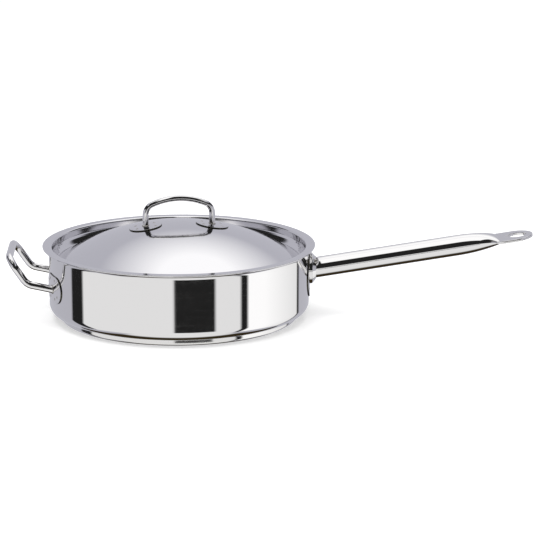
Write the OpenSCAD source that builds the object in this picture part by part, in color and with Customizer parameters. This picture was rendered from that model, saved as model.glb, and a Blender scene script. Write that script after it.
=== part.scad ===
// Saute pan with lid, stainless steel, in millimetres.
// Origin at the centre of the base's underside. +X runs along the long handle, +Z is up,
// and the helper handle is on the -X side.

/* [Pan body] */
// Outside radius of the straight wall
body_r = 140; // [110:1:170]
// Height from the table to the top of the pouring lip
body_h = 78.2; // [70:0.1:100]
// Thickness of the drawn body sheet
wall = 1; // [0.8:0.1:1.6]
// Outside radius of the corner between wall and floor
corner_r = 10; // [6:0.5:12]
// Radius of the outward flare under the pouring lip
lip_flare = 4.2; // [3:0.1:5]
// Width of the flat land at the edge of the pouring lip
lip_land = 1.4; // [1.2:0.1:2.5]

/* [Sandwich base] */
// Outside radius of the base cap
cap_r = 128.4; // [90:0.2:128.8]
// Height of the base cap, from the table to the body's floor
cap_h = 7; // [5:0.5:9]
// Sheet thickness of the base cap
cap_t = 0.8; // [0.5:0.1:1.2]
// Outside radius of the cap's lower edge
cap_edge = 3; // [1.5:0.5:4]
// Clearance round the aluminium core's rim
core_gap = 0.1; // [0.05:0.05:0.3]

/* [Long handle] */
// Outside diameter of the handle tube
tube_d = 22.4; // [18:0.2:26]
// Wall thickness of the handle tube
tube_t = 1.5; // [1:0.1:2]
// Height at which the tube's axis meets the wall
handle_z = 50.1; // [46:0.1:54]
// Upward tilt of the handle in degrees
handle_tilt = 8.6; // [0:0.2:12]
// Distance along the handle from the wall to its tip
handle_len = 245.5; // [200:0.5:300]
// Distance from the wall to the tube's hidden end in the ferrule
tube_start = 4.5; // [4:0.5:6]
// Length of the tip left flat beyond the pressed shoulder
tab_len = 37.5; // [31:0.5:60]
// Length over which the tube is pressed from round to flat
press_len = 46; // [28:1:60]
// Width of the flat tip
tab_w = 40; // [34:0.5:42]
// Thickness of the flat tip, two walls pressed together
tab_t = 3; // [2:0.1:4]
// Radius of the round end of the hanging eye
eye_r = 9.8; // [6:0.1:10.2]
// Distance from the centre of the eye's round end to its point
eye_point = 13.4; // [13.4:0.1:16]
// Metal left between the eye and the tip
eye_rim = 6.9; // [5:0.1:9]

/* [Long handle root] */
// Width of the saddle plate round the wall
saddle_w = 60; // [48:1:80]
// Height of the saddle plate
saddle_h = 46; // [44:1:48]
// Height of the saddle plate's centre
saddle_z = 44.5; // [43:0.5:46]
// Thickness of every saddle plate
saddle_t = 1.2; // [0.8:0.1:2]
// Distance from the wall to the ferrule's mouth
ferrule_len = 7.4; // [7:0.2:9]
// Distance from the wall to the ferrule's shoulder
ferrule_foot = 3.4; // [2.6:0.2:4]
// Radius of the ferrule at its shoulder
ferrule_r = 17; // [15:0.5:19]
// Width of the ferrule's rim round the tube
ferrule_rim = 1.2; // [1:0.1:2]
// Sheet thickness of the ferrule
ferrule_t = 1.2; // [1:0.1:1.5]
// Clearance between ferrule and tube
ferrule_gap = 0.1; // [0.05:0.05:0.3]
// Radius of the two weld beads at the ferrule's mouth
bead_r = 2.7; // [1.5:0.1:3]

/* [Helper handle] */
// Diameter of the helper handle's rod
rod_d = 8; // [6:0.2:10]
// Distance between the two legs, centre to centre
leg_span = 83; // [76:1:100]
// Height at which the legs' axes meet the wall
leg_z = 40.8; // [36:0.2:44]
// Upward tilt of the legs in degrees
leg_tilt = 12.2; // [5:0.2:14]
// Horizontal distance from the wall's outermost line to the bend
leg_out = 21.6; // [20:0.2:34]
// Length of the raised part, from bend corner to grip axis
grip_len = 33.3; // [28:0.2:37]
// Slope of the raised part in degrees
grip_tilt = 56.3; // [45:0.5:60]
// Bend radius between leg and raised part
leg_bend = 15; // [12:0.5:18]
// Bend radius at the ends of the grip
grip_bend = 14; // [10:0.5:18]
// Width of each helper saddle round the wall
pad_w = 51; // [44:1:60]
// Height of each helper saddle
pad_h = 28.5; // [27:0.5:32]

/* [Lid] */
// Sheet thickness of the lid
lid_t = 0.8; // [0.6:0.1:1.2]
// Distance by which the lid's flange overhangs the pouring lip
flange_over = 1; // [0.3:0.1:3]
// Gap between the pan's inside wall and the lid's skirt
skirt_gap = 2.1; // [1.5:0.1:3]
// Bend radius between flange and skirt, measured on top
flange_bend = 2.5; // [2:0.1:4]
// Depth from the flange's top to the skirt's lower bend
skirt_h = 7.4; // [6:0.1:9]
// Angle of the skirt's lower slope from upright, in degrees
skirt_slope = 27; // [20:1:35]
// Radius in the bottom of the channel
channel_r = 2; // [1.5:0.1:3]
// Radius of the dome's top surface
dome_r = 239.5; // [220:0.5:300]
// Height of the dome's crown above the flange's top
crown_h = 22.5; // [15:0.5:26]
// Angle by which the lid is turned on the pan, in degrees
lid_turn = 7; // [0:1:30]

/* [Lid handle] */
// Diameter of the lid handle's rod
lid_rod_d = 6.5; // [5:0.1:8]
// Distance between the lid handle's legs, centre to centre
lid_span = 72; // [64:1:84]
// Height of the grip's axis above the crown
grip_rise = 27.2; // [24:0.2:36]
// Bend radius at the shoulders of the arch
shoulder_r = 12; // [9:0.5:14]
// Radius of the arch's long top curve
arch_r = 72; // [60:1:90]
// Radius of each round lid saddle
lid_pad_r = 17.5; // [14:0.5:20]

/* [Welds] */
// Radius of a spot weld mark
spot_r = 1.5; // [1:0.1:2]
// Height of a spot weld mark above its plate
spot_h = 0.3; // [0.2:0.05:0.5]
// Distance of the long handle's outer spot welds from its plate's middle, round the wall
saddle_col = 21.6; // [18:0.2:22]
// Height of its upper and lower spot welds above and below the middle
saddle_row = 12; // [8:0.5:14]
// Distance of the helper saddles' inner spot welds from the leg, round the wall
inner_col = 8; // [7:0.5:10]
// Height of those spot welds above and below the leg
inner_row = 10; // [8:0.5:11]
// Distance of the helper saddles' outer spot welds from the leg, round the wall
outer_col = 15.5; // [13:0.5:16]
// Height of those spot welds above and below the leg
outer_row = 6.5; // [5:0.5:7]
// Distance of the lid saddles' spot welds from the leg, along the lid handle
lid_col = 10; // [8:0.5:11]
// Distance of those spot welds from the leg, across the lid handle
lid_row = 7; // [5:0.5:8]
// Width of the fillet weld round each rod foot
fillet_w = 1.2; // [0.8:0.1:2]
// Sheet or rod thickness lost on each side in a bend
bend_thin = 0.02; // [0.02:0.01:0.04]

/* [Hidden] */
$fn = 128;

steel = [0.80, 0.80, 0.82];
satin = [0.74, 0.74, 0.78];
alloy = [0.86, 0.87, 0.88];
weld = [0.62, 0.61, 0.59];

// Cuts run past the faces that they cut by this much
past = 1;
// Bends and straight runs reach this far into one another
sheet_lap = 0.1;
rod_lap = 0.4;
// A wedge that cuts a sector out of a ring reaches this many times the ring's radius
wedge_reach = 3;
// Share of a sheet's thickness taken off each corner of its edge
edge_cut = 0.3;

// Pan: the flare starts where the straight wall ends
flare_z = body_h - wall - lip_flare;
lip_r = body_r + lip_flare + lip_land;

// Long handle, measured along its axis from the wall
tube_r = tube_d / 2;
press_end = handle_len - tab_len;
press_start = press_end - press_len;
eye_pos = handle_len - eye_rim - eye_r;
bead_angle = 45;
press_rings = 11;
// The tube widens with this power of the share pressed
widening = 4;
ring_points = 32;
// The pressed shoulder starts this far inside the round tube's faces
press_step = 0.1;
// It ends this far under the flat tip's faces
sunk = 0.1;
// Length of the flat tip's root inside the pressed shoulder, and its taper there
root_len = 6;
root_taper = 4.5;
// Share of the pressed length over which the tube is still hollow
hollow_share = 0.7;
// Radius of the ferrule's mouth, and the turns of its outline at the shoulder and mouth
mouth_r = tube_r + ferrule_gap + ferrule_rim;
shoulder_turn = atan2(ferrule_r - mouth_r, ferrule_len - ferrule_foot);
mouth_turn = 90 - shoulder_turn;

// Helper handle
leg_angle = asin(leg_span / 2 / body_r);
corner_x = -(body_r + leg_out);
corner_z = leg_z + leg_out * tan(leg_tilt);
grip_x = corner_x - grip_len * cos(grip_tilt);
grip_z = corner_z + grip_len * sin(grip_tilt);
bend_cut = leg_bend * tan((grip_tilt - leg_tilt) / 2);
// The legs and their welds start this far inside the wall's outermost line
foot_depth = body_r - sqrt(body_r ^ 2 - (leg_span / 2 + rod_d) ^ 2) + rod_d;

// Lid, with every height taken from the lip that it rests on
flange_z = body_h + lid_t;
flange_r = lip_r + flange_over;
skirt_r = body_r - wall - skirt_gap - lid_t;
skirt_z = flange_z - skirt_h;
crown_z = flange_z + crown_h;
dome_z = crown_z - dome_r;
// Centre of the channel's bottom, tangent to the skirt's slope and to the dome
reach_x = skirt_r - channel_r * cos(skirt_slope);
reach_z = skirt_z + channel_r * sin(skirt_slope) - dome_z;
half_b = reach_x * sin(skirt_slope) + reach_z * cos(skirt_slope);
slope_len = half_b - sqrt(half_b ^ 2 - reach_x ^ 2 - reach_z ^ 2 + (dome_r + channel_r) ^ 2);
channel_x = reach_x - slope_len * sin(skirt_slope);
channel_z = reach_z - slope_len * cos(skirt_slope) + dome_z;

// Lid handle: two shoulder arcs and one long arc that meet without a kink
arch_angle = asin((lid_span / 2 - shoulder_r) / (arch_r - shoulder_r));
grip_top = crown_z + grip_rise;
spring_z = grip_top - arch_r + (arch_r - shoulder_r) * cos(arch_angle);

// Spot welds on each kind of saddle, from the middle of the plate or from its leg
saddle_spots = [for (side = [-1, 1], row = [-1, 0, 1]) [side * saddle_col, row * saddle_row]];
pad_spots = [
    for (spot = [[inner_col, inner_row], [outer_col, outer_row]], side = [-1, 1], row = [-1, 1])
        [side * spot[0], row * spot[1]]
];
lid_spots = [for (side = [-1, 1], row = [-1, 1]) [side * lid_col, row * lid_row]];

// A straight run of rod up local Z; what follows starts at its far end
module straight(d, length) {
    translate([0, 0, -rod_lap]) cylinder(d = d, h = length + 2 * rod_lap);
    translate([0, 0, length]) children();
}

// A bend of rod from local Z towards local X; what follows heads on from its far end
module bend(d, r, angle) {
    translate([r, 0, 0]) rotate([90, 0, 180])
        rotate_extrude(angle = angle) translate([r, 0]) circle(d = d - 2 * bend_thin);
    translate([r - r * cos(angle), 0, r * sin(angle)]) rotate([0, angle, 0]) children();
}

// Section of a sheet bent round a circle of radius r, between two angles
module sheet_bend(r, t, from, to) {
    lap = sheet_lap / r * 180 / PI;
    reach = wedge_reach * (r + t);
    intersection() {
        difference() {
            circle(r = r + t - bend_thin);
            circle(r = r + bend_thin);
        }
        polygon([
            [0, 0],
            for (a = [from - lap, (from + to) / 2, to + lap]) reach * [cos(a), sin(a)]
        ]);
    }
}

// A long hole or plate outline with half-round ends, lying along X
module oval(w, h) {
    square([w - h, h], center = true);
    for (side = [-1, 1]) translate([side * (w - h) / 2, 0]) circle(d = h);
}

// A curved sheet of thickness t lying against the wall at an angle from +X
module on_wall(angle, z, r, t) {
    intersection() {
        difference() {
            cylinder(r = r + t, h = body_h);
            translate([0, 0, -past]) cylinder(r = r, h = body_h + 2 * past);
        }
        rotate([0, 0, angle]) translate([r / 2, 0, z]) rotate([90, 0, 90])
            linear_extrude(height = r) children();
    }
}

// A curved sheet of thickness t lying on the dome
module on_dome(r, t) {
    intersection() {
        translate([0, 0, dome_z]) difference() {
            sphere(r = r + t, $fn = 240);
            sphere(r = r, $fn = 240);
        }
        translate([0, 0, flange_z]) linear_extrude(height = 2 * crown_h) children();
    }
}

// The long handle's own frame: X along its axis, starting at the wall
module handle_frame() {
    translate([body_r, 0, handle_z]) rotate([0, -handle_tilt, 0]) children();
}

// The lid's own frame: X along the lid handle
module lid_frame() {
    rotate([0, 0, lid_turn]) children();
}

// Section of a flat sheet of width w, with the sharp corners of its far edge taken off
module sheet_edge(w, t) {
    cut = t * edge_cut;
    polygon([[0, 0], [w - cut, 0], [w, cut], [w, t - cut], [w - cut, t], [0, t]]);
}

// Half section of a drawn cup: floor, rounded corner and wall up to height top
module cup_section(r, floor_z, corner, top) {
    translate([0, floor_z]) square([r - corner, top - floor_z]);
    translate([0, floor_z + corner]) square([r, top - floor_z - corner]);
    translate([r - corner, floor_z + corner]) circle(r = corner);
}

module pan_shell() {
    color(steel) rotate_extrude($fn = 240) {
        difference() {
            cup_section(body_r, cap_h, corner_r, flare_z);
            translate([-past, 0]) square([past, body_h]);
            cup_section(body_r - wall, cap_h + wall, corner_r - wall, flare_z + past);
        }
        // Flare of the pouring lip
        translate([body_r + lip_flare, flare_z]) sheet_bend(lip_flare, wall, 90, 180);
        // Flat land that carries the lid
        translate([body_r + lip_flare, body_h - wall]) sheet_edge(lip_land, wall);
    }
}

module base_core() {
    color(alloy) rotate_extrude($fn = 240) intersection() {
        cup_section(cap_r - cap_t - core_gap, cap_t, cap_edge - cap_t, cap_h);
        square([cap_r, cap_h]);
    }
}

module base_cap() {
    color(steel) rotate_extrude($fn = 240) difference() {
        cup_section(cap_r, 0, cap_edge, cap_h);
        translate([-past, 0]) square([past, cap_h]);
        cup_section(cap_r - cap_t, cap_t, cap_edge - cap_t, cap_h + past);
    }
}

module handle_saddle() {
    color(steel) on_wall(0, saddle_z, body_r, saddle_t) oval(saddle_w, saddle_h);
}

// A solid cone and shoulder on an upright foot, smaller by a sheet's thickness inside
module ferrule_solid(sheet, from) {
    translate([body_r, 0, handle_z + ferrule_len / 2 * tan(handle_tilt)]) rotate([0, 90, 0])
        rotate_extrude() polygon([
            [0, from],
            [ferrule_r - sheet, from],
            [ferrule_r - sheet, ferrule_foot - sheet * tan(shoulder_turn / 2)],
            [mouth_r - sheet * tan(mouth_turn / 2), ferrule_len - sheet],
            [0, ferrule_len - sheet]
        ]);
}

// The space that the tube takes up in its ferrule, with a gap all round it
module tube_space(gap) {
    handle_frame() translate([-tube_d, 0, 0]) rotate([0, 90, 0])
        cylinder(r = tube_r + gap, h = 2 * tube_d);
}

module handle_ferrule() {
    color(steel) difference() {
        ferrule_solid(0, -ferrule_foot);
        ferrule_solid(ferrule_t, -ferrule_foot - past);
        tube_space(ferrule_gap);
        cylinder(r = body_r + saddle_t, h = body_h);
    }
}

// Share of the pressing done at distance x, from round to flat
function pressed(x) = min(max((x - press_start) / press_len, 0), 1);
// Half height, which falls with a rounded nose, and half width, less an inset for the inside
function half_h(x, inset) = let (flat = tab_t / 2 - sunk)
    flat + (tube_r - flat) * sqrt(1 - pow(pressed(x), 2)) - inset;
function half_w(x, inset) = tube_r + (tab_w / 2 - sunk - tube_r) * pow(pressed(x), widening) - inset;
function press_ring(x, inset) = [
    for (i = [0 : ring_points - 1])
        let (a = (i + 0.5) * 360 / ring_points)
        [x, half_w(x, inset) * cos(a), half_h(x, inset) * sin(a)]
];

// Loft through the pressed shoulder's rings, from round to flat
module pressed_loft(from, to, inset) {
    xs = [for (k = [0 : press_rings - 1]) from + (to - from) * sin(90 * k / (press_rings - 1))];
    points = [for (x = xs) each press_ring(x, inset)];
    sides = [
        for (k = [0 : press_rings - 2], i = [0 : ring_points - 1])
            let (j = (i + 1) % ring_points, a = k * ring_points, b = a + ring_points)
            each [[a + i, b + j, a + j], [a + i, b + i, b + j]]
    ];
    last = (press_rings - 1) * ring_points;
    ends = [
        [for (i = [0 : ring_points - 1]) i],
        [for (i = [ring_points - 1 : -1 : 0]) last + i]
    ];
    polyhedron(points = points, faces = concat(sides, ends));
}

module eye_outline() {
    reach = acos(eye_r / eye_point);
    circle(r = eye_r);
    polygon([
        [-eye_r * cos(reach), eye_r * sin(reach)],
        [-eye_point, 0],
        [-eye_r * cos(reach), -eye_r * sin(reach)],
        [0, 0]
    ]);
}

module handle_tube() {
    hollow_end = press_start + press_len * hollow_share;
    color(steel) handle_frame() difference() {
        union() {
            translate([tube_start, 0, 0]) rotate([0, 90, 0])
                cylinder(r = tube_r, h = press_start - tube_start + rod_lap);
            pressed_loft(press_start, press_end, press_step);
            translate([0, 0, -tab_t / 2]) linear_extrude(height = tab_t) {
                translate([press_end, -tab_w / 2])
                    square([handle_len - tab_w / 2 - press_end, tab_w]);
                translate([press_end - root_len, 0]) polygon([
                    [0, root_taper - tab_w / 2],
                    [root_len + past, -tab_w / 2],
                    [root_len + past, tab_w / 2],
                    [0, tab_w / 2 - root_taper]
                ]);
                translate([handle_len - tab_w / 2, 0]) circle(d = tab_w);
            }
        }
        translate([tube_start - past, 0, 0]) rotate([0, 90, 0])
            cylinder(r = tube_r - tube_t, h = press_start - tube_start + past + rod_lap);
        pressed_loft(press_start, hollow_end, tube_t + press_step);
        translate([eye_pos, 0, -tab_t]) linear_extrude(height = 2 * tab_t) eye_outline();
    }
}

module handle_weld_beads() {
    color(weld) difference() {
        handle_frame() for (side = [0, 1]) mirror([0, side, 0]) rotate([-bead_angle, 0, 0])
            translate([ferrule_len, -tube_r - ferrule_rim, 0]) sphere(r = bead_r, $fn = 48);
        tube_space(0);
        ferrule_solid(0, -ferrule_foot);
    }
}

module handle_spot_welds() {
    color(weld) for (spot = saddle_spots)
        on_wall(spot[0] / body_r * 180 / PI, saddle_z + spot[1], body_r + saddle_t, spot_h)
            circle(r = spot_r, $fn = 32);
}

// One end of the helper handle, from the end of its grip to a foot in the wall
module helper_end() {
    translate([grip_x, 0, grip_z]) rotate([90, 0, 0]) rotate([0, 0, -grip_tilt])
        translate([0, 0, leg_span / 2 - grip_bend]) bend(rod_d, grip_bend, 90)
        straight(rod_d, grip_len - grip_bend - bend_cut)
        rotate([0, 0, 90]) bend(rod_d, leg_bend, grip_tilt - leg_tilt)
        straight(rod_d, leg_out / cos(leg_tilt) - bend_cut + foot_depth);
}

module helper_handle() {
    grip = leg_span - 2 * grip_bend;
    color(steel) difference() {
        union() {
            translate([grip_x, grip / 2, grip_z]) rotate([90, 0, 0]) straight(rod_d, grip);
            for (side = [0, 1]) mirror([0, side, 0]) helper_end();
        }
        cylinder(r = body_r + saddle_t, h = body_h);
    }
}

// A helper saddle, at the leg on the given side of the pan
module helper_saddle(side) {
    color(steel) on_wall(180 + side * leg_angle, leg_z, body_r, saddle_t) oval(pad_w, pad_h);
}

module helper_saddle_front() {
    helper_saddle(1);
}

module helper_saddle_rear() {
    helper_saddle(-1);
}

module helper_foot_welds() {
    rod_r = rod_d / 2;
    color(weld) difference() {
        for (side = [-1, 1])
            translate([-body_r, side * leg_span / 2, leg_z]) rotate([0, leg_tilt - 90, 0])
                difference() {
                    translate([0, 0, -foot_depth])
                        cylinder(r = rod_r + fillet_w, h = foot_depth + rod_d);
                    translate([0, 0, -foot_depth - past])
                        cylinder(r = rod_r, h = foot_depth + rod_d + 2 * past);
                }
        cylinder(r = body_r + saddle_t, h = body_h);
        rotate_extrude() translate([body_r + saddle_t + fillet_w, 0])
            square([body_r, body_h]);
    }
}

module helper_spot_welds() {
    color(weld) for (side = [-1, 1], spot = pad_spots)
        on_wall(180 + side * leg_angle + spot[0] / body_r * 180 / PI, leg_z + spot[1],
                body_r + saddle_t, spot_h)
            circle(r = spot_r, $fn = 32);
}

// Half section of the lid sheet
module lid_section() {
    // Where the skirt's slope ends, on the lid's upper side
    slope_end = [skirt_r - slope_len * sin(skirt_slope), skirt_z - slope_len * cos(skirt_slope)];
    dome_angle = atan2(channel_z - dome_z, channel_x);
    // Flange that rests on the pan's lip
    translate([skirt_r + flange_bend, flange_z - lid_t])
        sheet_edge(flange_r - skirt_r - flange_bend, lid_t);
    translate([skirt_r + flange_bend, flange_z - flange_bend])
        sheet_bend(flange_bend - lid_t, lid_t, 90, 180);
    // Upright skirt and its slope down into the channel
    polygon([
        [skirt_r, skirt_z],
        slope_end,
        slope_end + lid_t * [cos(skirt_slope), -sin(skirt_slope)],
        [skirt_r + lid_t, skirt_z - lid_t * tan(skirt_slope / 2)],
        [skirt_r + lid_t, flange_z - flange_bend],
        [skirt_r, flange_z - flange_bend]
    ]);
    // Bottom of the channel
    translate([channel_x, channel_z])
        sheet_bend(channel_r, lid_t, dome_angle - 180, -skirt_slope);
    // Dome
    translate([0, dome_z]) intersection() {
        difference() {
            circle(r = dome_r, $fn = 1440);
            circle(r = dome_r - lid_t, $fn = 1440);
        }
        polygon([
            [0, 0],
            wedge_reach * [channel_x, channel_z - dome_z],
            [0, wedge_reach * dome_r]
        ]);
    }
}

module lid_shell() {
    color(satin) rotate_extrude($fn = 240) lid_section();
}

// One end of the lid handle, from the end of its top curve down to a foot
module lid_handle_end() {
    translate([
        arch_r * sin(arch_angle),
        0,
        grip_top - arch_r + arch_r * cos(arch_angle)
    ])
        rotate([0, 90 + arch_angle, 0]) straight(lid_rod_d, 0)
        bend(lid_rod_d, shoulder_r, 90 - arch_angle)
        straight(lid_rod_d, spring_z - flange_z);
}

module lid_handle() {
    color(steel) lid_frame() difference() {
        union() {
            translate([0, 0, grip_top - arch_r]) rotate([90, 0, 0])
                rotate([0, 0, 90 - arch_angle]) rotate_extrude(angle = 2 * arch_angle)
                translate([arch_r, 0]) circle(d = lid_rod_d - 2 * bend_thin);
            for (side = [0, 1]) mirror([side, 0, 0]) lid_handle_end();
        }
        translate([0, 0, dome_z]) sphere(r = dome_r + saddle_t, $fn = 240);
    }
}

// A round lid saddle, under the leg on the given side
module lid_saddle(side) {
    color(steel) lid_frame() on_dome(dome_r, saddle_t)
        translate([side * lid_span / 2, 0]) circle(r = lid_pad_r);
}

module lid_saddle_left() {
    lid_saddle(-1);
}

module lid_saddle_right() {
    lid_saddle(1);
}

module lid_foot_welds() {
    rod_r = lid_rod_d / 2;
    color(weld) lid_frame() intersection() {
        for (side = [-1, 1]) translate([side * lid_span / 2, 0, flange_z]) difference() {
            cylinder(r = rod_r + fillet_w, h = crown_h);
            translate([0, 0, -past]) cylinder(r = rod_r, h = crown_h + 2 * past);
        }
        translate([0, 0, dome_z]) difference() {
            sphere(r = dome_r + saddle_t + fillet_w, $fn = 240);
            sphere(r = dome_r + saddle_t, $fn = 240);
        }
    }
}

module lid_spot_welds() {
    color(weld) lid_frame() for (side = [-1, 1], spot = lid_spots)
        on_dome(dome_r + saddle_t, spot_h)
            translate([side * lid_span / 2 + spot[0], spot[1]]) circle(r = spot_r, $fn = 32);
}

pan_shell();
base_core();
base_cap();
handle_saddle();
handle_ferrule();
handle_tube();
handle_weld_beads();
handle_spot_welds();
helper_handle();
helper_saddle_front();
helper_saddle_rear();
helper_foot_welds();
helper_spot_welds();
lid_shell();
lid_handle();
lid_saddle_left();
lid_saddle_right();
lid_foot_welds();
lid_spot_welds();
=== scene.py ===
# Saute pan with lid: the looks of every piece, in metres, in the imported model's frame.
import math

import bmesh
import bpy
from mathutils import Matrix, Vector


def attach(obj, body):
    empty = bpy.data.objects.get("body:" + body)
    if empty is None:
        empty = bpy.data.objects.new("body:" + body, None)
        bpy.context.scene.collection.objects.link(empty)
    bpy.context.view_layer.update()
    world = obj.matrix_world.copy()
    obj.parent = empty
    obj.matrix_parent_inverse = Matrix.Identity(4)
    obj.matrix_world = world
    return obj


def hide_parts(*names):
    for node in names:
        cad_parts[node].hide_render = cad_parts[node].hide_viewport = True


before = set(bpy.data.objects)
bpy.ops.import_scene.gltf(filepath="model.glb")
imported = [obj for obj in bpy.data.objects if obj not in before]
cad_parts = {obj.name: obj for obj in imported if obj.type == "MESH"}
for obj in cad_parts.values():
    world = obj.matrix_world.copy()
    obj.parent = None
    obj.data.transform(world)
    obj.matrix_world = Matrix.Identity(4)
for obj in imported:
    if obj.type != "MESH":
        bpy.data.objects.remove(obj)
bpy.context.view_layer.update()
scene = bpy.context.scene

# Camera: the photograph's view, a long lens 2.4 m away and 13.75 degrees above the table,
# with the handles' line turned 2.7 degrees away from the picture's plane.
MM = 0.001
PICTURE = 540
FOCAL_PX = 2221.2
AXIS_PX = (179.31, 274.02)
CAMERA_AWAY = 2400 * MM
AIM_HEIGHT = 45 * MM
LOOK_DOWN = math.radians(13.75)
ROLL = math.radians(0.164)
HANDLE_TURN = math.radians(2.7)
SENSOR = 36.0

forward = Vector((0, math.cos(LOOK_DOWN), -math.sin(LOOK_DOWN)))
level = Vector((1, 0, 0))
upward = Vector((0, math.sin(LOOK_DOWN), math.cos(LOOK_DOWN)))
right = math.cos(ROLL) * level + math.sin(ROLL) * upward
top = -math.sin(ROLL) * level + math.cos(ROLL) * upward
px_size = CAMERA_AWAY / FOCAL_PX
centre = Vector((0, 0, AIM_HEIGHT)) - CAMERA_AWAY * forward
centre -= (AXIS_PX[0] - PICTURE / 2) * px_size * right
centre += (AXIS_PX[1] - PICTURE / 2) * px_size * top
placing = Matrix((right, top, -forward)).transposed().to_4x4()
placing.translation = centre
camera = bpy.data.objects.new("camera", bpy.data.cameras.new("camera"))
camera.data.sensor_width = SENSOR
camera.data.lens = SENSOR * FOCAL_PX / PICTURE
camera.matrix_world = Matrix.Rotation(-HANDLE_TURN, 4, "Z") @ placing
scene.collection.objects.link(camera)
scene.camera = camera
scene.view_settings.view_transform = "Standard"

# Studio: a white room for the camera and a plain light on the object. What the polished steel
# mirrors is a set of boards round the table in five tones: white overhead, grey behind, black in
# front and high above it, black strips at the sides, and upright ones round the wall's height.
def linear(colour, alpha=1.0):
    """An sRGB hex colour as linear red, green, blue and alpha."""
    channels = [int(colour[i:i + 2], 16) / 255 for i in (1, 3, 5)]
    return [c / 12.92 if c <= 0.04045 else ((c + 0.055) / 1.055) ** 2.4 for c in channels] + [alpha]


def add(tree, kind, inputs=None, stops=(), **settings):
    """A new node with its settings. An input is linked if it is a socket, and set if not. Stops are
    a ramp's places from 0 to 1, in order, each with its colour."""
    made = tree.nodes.new(kind)
    for name, value in settings.items():
        setattr(made, name, value)
    for name, value in (inputs or {}).items():
        if isinstance(value, bpy.types.NodeSocket):
            tree.links.new(value, made.inputs[name])
        else:
            made.inputs[name].default_value = value
    if stops:
        made.color_ramp.elements.remove(made.color_ramp.elements[-1])
    for i, (place, colour) in enumerate(stops):
        spot = made.color_ramp.elements.new(place) if i else made.color_ramp.elements[0]
        spot.position = place
        spot.color = linear(colour)
    return made


# The tones of the studio: lit white, shaded white, cool grey, black, and the brown dark below
WHITE, PALE, GREY, BLACK, BROWN = "#ffffff", "#e0e0e0", "#b0b0b8", "#202020", "#302818"
# Round the handles' line: 0 is level in front, 90 overhead, 180 level behind, -90 below
ROUND_BOARDS = [
    (-180, GREY), (-142, GREY), (-134, BROWN), (-85, BROWN), (-70, PALE), (-8, PALE),
    (-5, BLACK), (44, BLACK), (47, WHITE), (90, WHITE), (150, GREY), (180, GREY),
]
# The soft white board overhead, from its middle outwards. Its middle is given round the handles'
# line and to the right, and its reach in the same two ways
SOFT_BOARD = [(0.0, WHITE), (0.45, WHITE), (1.1, GREY), (2.0, GREY)]
SOFT_ANGLE = 105.0
SOFT_SIDE = 0.12
SOFT_REACH = (47.0, 0.55)
# Both sides, by height in degrees, and how far to the side and not behind they take over
SIDE_BOARDS = [
    (-90, BROWN), (-66, BROWN), (-60, GREY), (14, GREY), (17, BLACK), (38, BLACK),
    (42, GREY), (60, GREY), (80, WHITE), (90, WHITE),
]
SIDE_EDGE = (0.5, 0.62)
SIDE_END = (0.5, 0.62)
# Upright boards round the pan, low down: 0 is in front, 90 is right and -90 is left
WALL_BOARDS = [
    (-180, GREY), (-110, GREY), (-109, BLACK), (-95, BLACK), (-93, PALE), (-6, PALE),
    (-4, BLACK), (30, BLACK), (32, PALE), (54, PALE), (56, BLACK), (61, BLACK),
    (63, WHITE), (80, WHITE), (126, PALE), (128, BLACK), (130, BLACK), (132, GREY), (180, GREY),
]
# Heights between which they stand: the one in front, about FRONT_MIDDLE, ends higher than the rest
BAND_TOP = -13.0
BAND_FOOT = (-16.4, -42.0)
FRONT_MIDDLE = 13.0
FRONT_HALF = (20.0, 22.0)
# The dark board high in front, with a slot left open in it: how far to the side and in front it
# lies over its height, each as the values where it begins and where it is fully dark
DARK_SIDE = (0.95, 0.6)
DARK_HIGH = (0.04, 0.3)
DARK_LOW = (1.05, 1.02)
DARK_SLOT = (-0.08, 0.10, 0.14)
BOARD_LIGHT = 1.25
ROOM_LIGHT = 0.75

room = bpy.data.worlds.new("studio")
room.use_nodes = True
room.node_tree.nodes.clear()
tree = room.node_tree
sight = add(tree, "ShaderNodeSeparateXYZ", {0: add(tree, "ShaderNodeTexCoord").outputs["Generated"]})
found = dict(zip("xyz", sight.outputs))
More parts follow.
